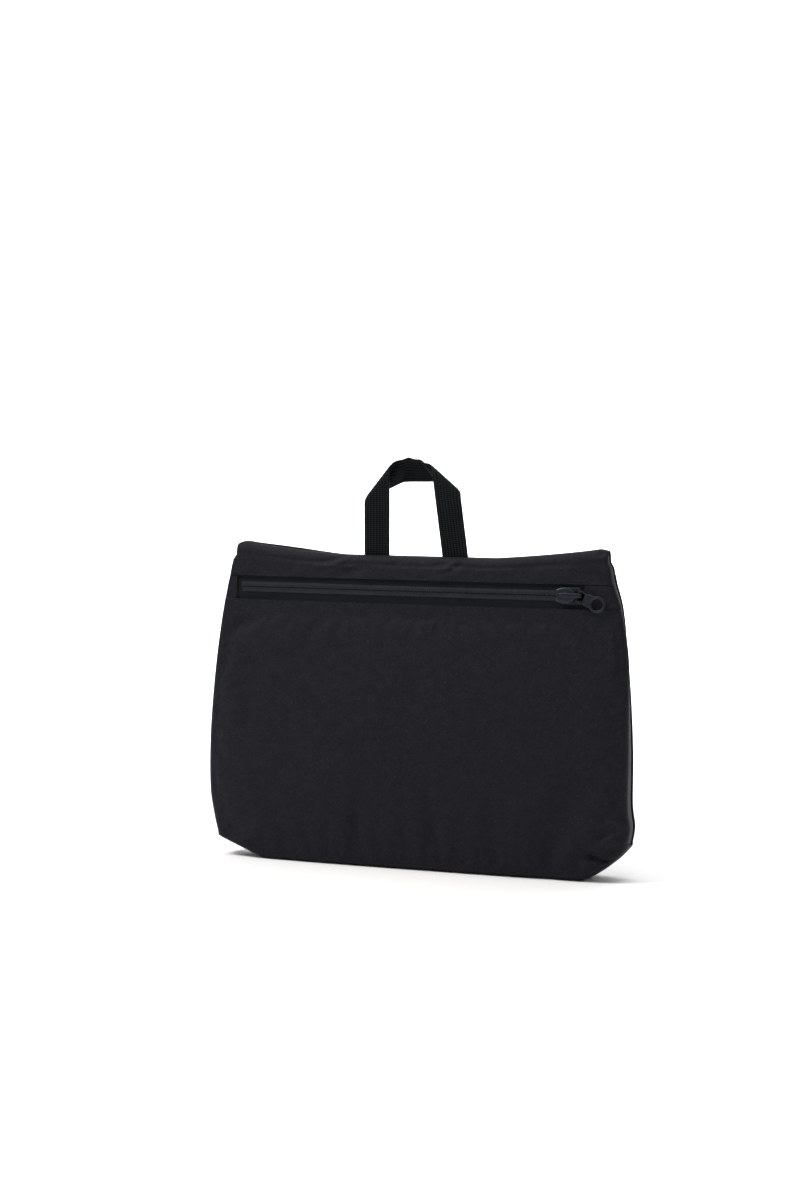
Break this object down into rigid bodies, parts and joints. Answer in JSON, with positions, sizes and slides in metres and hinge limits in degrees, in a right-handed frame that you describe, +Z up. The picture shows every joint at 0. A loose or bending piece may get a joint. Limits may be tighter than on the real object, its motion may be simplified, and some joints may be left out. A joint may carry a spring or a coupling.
{
  "type": "packable backpack",
  "caption": "Packable backpack folded and zipped into its own flat front pocket, with a webbing loop handle on top.",
  "frame": {"origin": "middle of the base, on the surface that the pouch stands on", "axes": "+X along the zip towards the closed slider, -Y out of the front, +Z up"},
  "size_m": [0.2917, 0.0435, 0.2691],
  "materials": {
    "coated_fabric": "matte",
    "zip_tape": "matte",
    "zip_coil": "satin",
    "zip_metal": "satin",
    "webbing": "matte"
  },
  "bodies": {
    "pouch": {"front_panel": "coated_fabric", "top_band": "coated_fabric", "back_panel": "coated_fabric", "side_gusset_left": "coated_fabric", "side_gusset_right": "coated_fabric", "base_gusset": "coated_fabric", "zip_tab_left": "coated_fabric", "zip_tab_right": "coated_fabric", "zip_tape_upper": "zip_tape", "zip_tape_lower": "zip_tape", "zip_coil_upper": "zip_coil", "zip_coil_lower": "zip_coil", "zip_slider": "zip_metal", "handle_strap": "webbing", "folded_pack": "coated_fabric"},
    "pull": {"zip_pull": "zip_metal"}
  },
  "joints": [
    {"name": "pull_swing", "type": "hinge", "parent": "pouch", "child": "pull", "pos_m": [0.10906, -0.01135, 0.18124], "axis": [-0.3876, -0.1067, -0.9156], "range_deg": [0, 140]}
  ]
}
